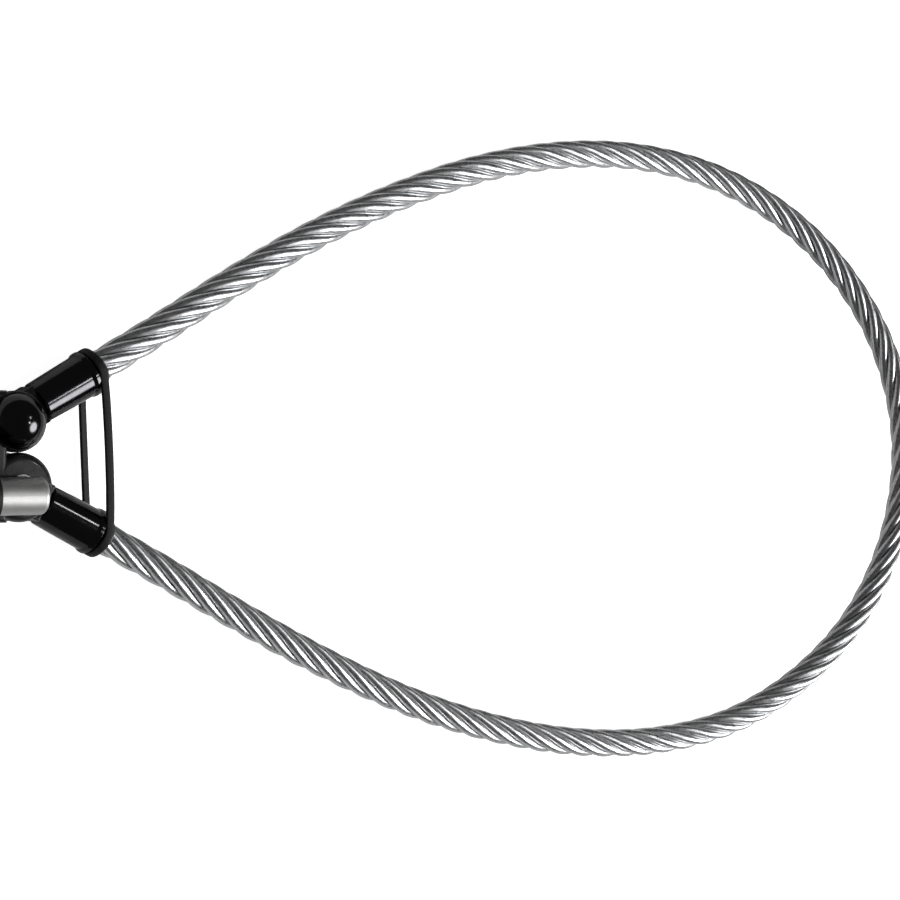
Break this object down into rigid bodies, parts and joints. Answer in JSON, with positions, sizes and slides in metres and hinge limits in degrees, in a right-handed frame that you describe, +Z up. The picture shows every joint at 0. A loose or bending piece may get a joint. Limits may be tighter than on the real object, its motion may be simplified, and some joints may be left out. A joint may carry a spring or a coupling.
{
  "type": "cable lock",
  "caption": "Bare wire-rope loop whose crimped, black-plated terminals are held in a die-cast key lock head by a domed rivet and a locking pin.",
  "frame": {"origin": "middle of the lock body's flat bottom face", "axes": "+X from the lock body to the far end of the loop, +Y towards the riveted terminal, +Z up from the face it lies on"},
  "size_m": [0.4397, 0.2269, 0.0288],
  "materials": {
    "cast_body": "dark gloss coat over die-cast zinc, grey where the edges are worn",
    "black_chrome": "polished black chrome plating",
    "dark_steel": "black oxide",
    "plain_steel": "ground steel",
    "barrel_nickel": "satin nickel plating with fine turning marks",
    "core_brass": "machined brass",
    "black_rubber": "smooth black rubber",
    "black_plastic": "moulded black nylon",
    "washer_plastic": "natural nylon",
    "rope_steel": "bright drawn galvanised wire"
  },
  "bodies": {
    "lock_body": {"body_base": "cast_body", "body_cover": "cast_body", "cover_screws": "dark_steel", "dowel_pins": "plain_steel", "pivot_rivet": "black_chrome", "rivet_flange": "black_chrome", "rivet_tail_washer": "plain_steel", "wear_washers": "washer_plastic", "pin_guide_bush": "plain_steel", "lock_barrel": "barrel_nickel", "barrel_nose_cap": "barrel_nickel", "barrel_seal": "black_rubber", "barrel_set_screw": "dark_steel", "flap_rivet": "plain_steel", "flap_washer": "plain_steel"},
    "core": {"lock_core": "core_brass", "core_wafers": "core_brass", "core_clip": "plain_steel", "tail_bar": "plain_steel", "drive_cam": "plain_steel"},
    "pin": {"locking_pin": "plain_steel"},
    "flap": {"dust_flap": "barrel_nickel"},
    "cable": {"terminal_upper": "black_chrome", "terminal_lower": "black_chrome", "eye_bush_upper": "core_brass", "eye_bush_lower": "plain_steel", "ferrule_upper": "black_chrome", "ferrule_lower": "black_chrome", "nose_sleeve_upper": "black_plastic", "nose_sleeve_lower": "black_plastic", "keeper_band": "black_rubber", "wire_rope": "rope_steel"}
  },
  "joints": [
    {"name": "key_turn", "type": "hinge", "parent": "lock_body", "child": "core", "pos_m": [0.003, -0.01139, 0.0211], "axis": [-1, 0, 0], "range_deg": [0, 90]},
    {"name": "pin_drop", "type": "slide", "parent": "lock_body", "child": "pin", "axis": [0, 0, -1], "range_m": [0, 0.00396]},
    {"name": "cable_swing", "type": "hinge", "parent": "lock_body", "child": "cable", "pos_m": [0.029, 0.0102, 0.0086], "axis": [0, 0, 1], "range_deg": [0, 75]},
    {"name": "flap_swing", "type": "hinge", "parent": "lock_body", "child": "flap", "pos_m": [-0.0175, -0.001, 0.013], "axis": [-1, 0, 0], "range_deg": [0, 85]}
  ],
  "couplings": [
    {"joint": "pin_drop", "follows": "key_turn", "m_per_rad": 0.0025209}
  ]
}
